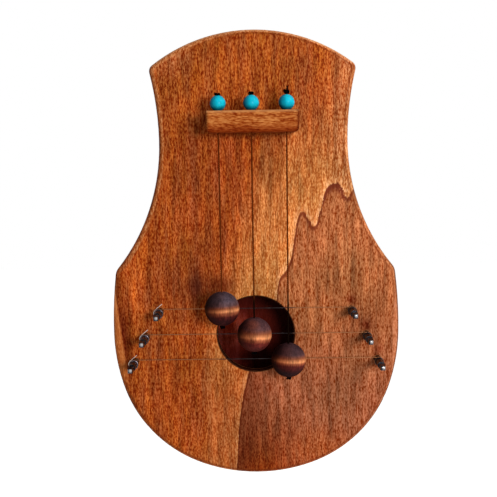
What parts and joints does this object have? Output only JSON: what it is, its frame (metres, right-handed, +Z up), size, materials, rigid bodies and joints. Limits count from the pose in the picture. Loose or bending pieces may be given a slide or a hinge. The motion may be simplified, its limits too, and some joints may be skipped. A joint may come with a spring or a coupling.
{
  "type": "door harp",
  "caption": "Hollow wooden box that hangs on a door: wooden balls on cords swing against tuned wires strung over a round sound hole.",
  "frame": {"origin": "centre of the hanger's round entry, in the plane of the back", "axes": "+Z up, +Y out of the back towards the door, -Y the front, +X to the right as seen from the front"},
  "size_m": [0.1944, 0.0565, 0.3008],
  "materials": {
    "stained_wood": "reddish brown stain under satin oil",
    "rail_wood": "reddish brown stain under satin oil",
    "bare_hardwood": "bare",
    "charred_wood": "charred and waxed, with a lighter stripe",
    "turquoise": "polished",
    "waxed_cord": "waxed",
    "string_wire": "bright drawn",
    "pin_steel": "blued, with a bright tip",
    "zinc_plate": "zinc plated",
    "screw_steel": "zinc plated"
  },
  "bodies": {
    "root": {"soundboard": "stained_wood", "head_block": "stained_wood", "tail_block": "stained_wood", "left_rib": "stained_wood", "right_rib": "stained_wood", "left_pin_block": "bare_hardwood", "right_pin_block": "bare_hardwood", "back_panel": "stained_wood", "hanger_plate": "zinc_plate", "hanger_screws": "screw_steel", "clapper_rail": "rail_wood", "rail_dowels": "bare_hardwood", "hitch_pins": "pin_steel", "bead_left": "turquoise", "bead_middle": "turquoise", "bead_right": "turquoise", "cord_top_left": "waxed_cord", "cord_top_middle": "waxed_cord", "cord_top_right": "waxed_cord", "string_top": "string_wire", "string_middle": "string_wire", "string_bottom": "string_wire"},
    "tuning_top": {"tuning_pin_top": "pin_steel"},
    "tuning_middle": {"tuning_pin_middle": "pin_steel"},
    "tuning_bottom": {"tuning_pin_bottom": "pin_steel"},
    "sway_left": {"cord_bend_left": "waxed_cord"},
    "clapper_left": {"cord_left": "waxed_cord", "ball_left": "charred_wood"},
    "sway_middle": {"cord_bend_middle": "waxed_cord"},
    "clapper_middle": {"cord_middle": "waxed_cord", "ball_middle": "charred_wood"},
    "sway_right": {"cord_bend_right": "waxed_cord"},
    "clapper_right": {"cord_right": "waxed_cord", "ball_right": "charred_wood"}
  },
  "joints": [
    {"name": "tune_top", "type": "hinge", "parent": "root", "child": "tuning_top", "pos_m": [-0.0646, -0.028, -0.1416], "axis": [0, -1, 0], "range_deg": [-360, 45]},
    {"name": "tune_middle", "type": "hinge", "parent": "root", "child": "tuning_middle", "pos_m": [-0.0746, -0.028, -0.159], "axis": [0, -1, 0], "range_deg": [-360, 45]},
    {"name": "tune_bottom", "type": "hinge", "parent": "root", "child": "tuning_bottom", "pos_m": [-0.0826, -0.028, -0.1764], "axis": [0, -1, 0], "range_deg": [-360, 45]},
    {"name": "sway_left", "type": "hinge", "parent": "root", "child": "sway_left", "pos_m": [-0.0217, -0.04527, -0.0252], "axis": [0, 1, 0], "range_deg": [-1.5, 10]},
    {"name": "swing_left", "type": "hinge", "parent": "sway_left", "child": "clapper_left", "pos_m": [-0.0217, -0.04527, -0.0252], "axis": [-1, 0, 0], "range_deg": [0, 60]},
    {"name": "sway_middle", "type": "hinge", "parent": "root", "child": "sway_middle", "pos_m": [-0.0009, -0.04527, -0.0252], "axis": [0, 1, 0], "range_deg": [-1.5, 1.5]},
    {"name": "swing_middle", "type": "hinge", "parent": "sway_middle", "child": "clapper_middle", "pos_m": [-0.0009, -0.04527, -0.0252], "axis": [-1, 0, 0], "range_deg": [0, 60]},
    {"name": "sway_right", "type": "hinge", "parent": "root", "child": "sway_right", "pos_m": [0.0212, -0.04527, -0.0252], "axis": [0, 1, 0], "range_deg": [-10, 1.5]},
    {"name": "swing_right", "type": "hinge", "parent": "sway_right", "child": "clapper_right", "pos_m": [0.0212, -0.04527, -0.0252], "axis": [-1, 0, 0], "range_deg": [0, 60]}
  ]
}
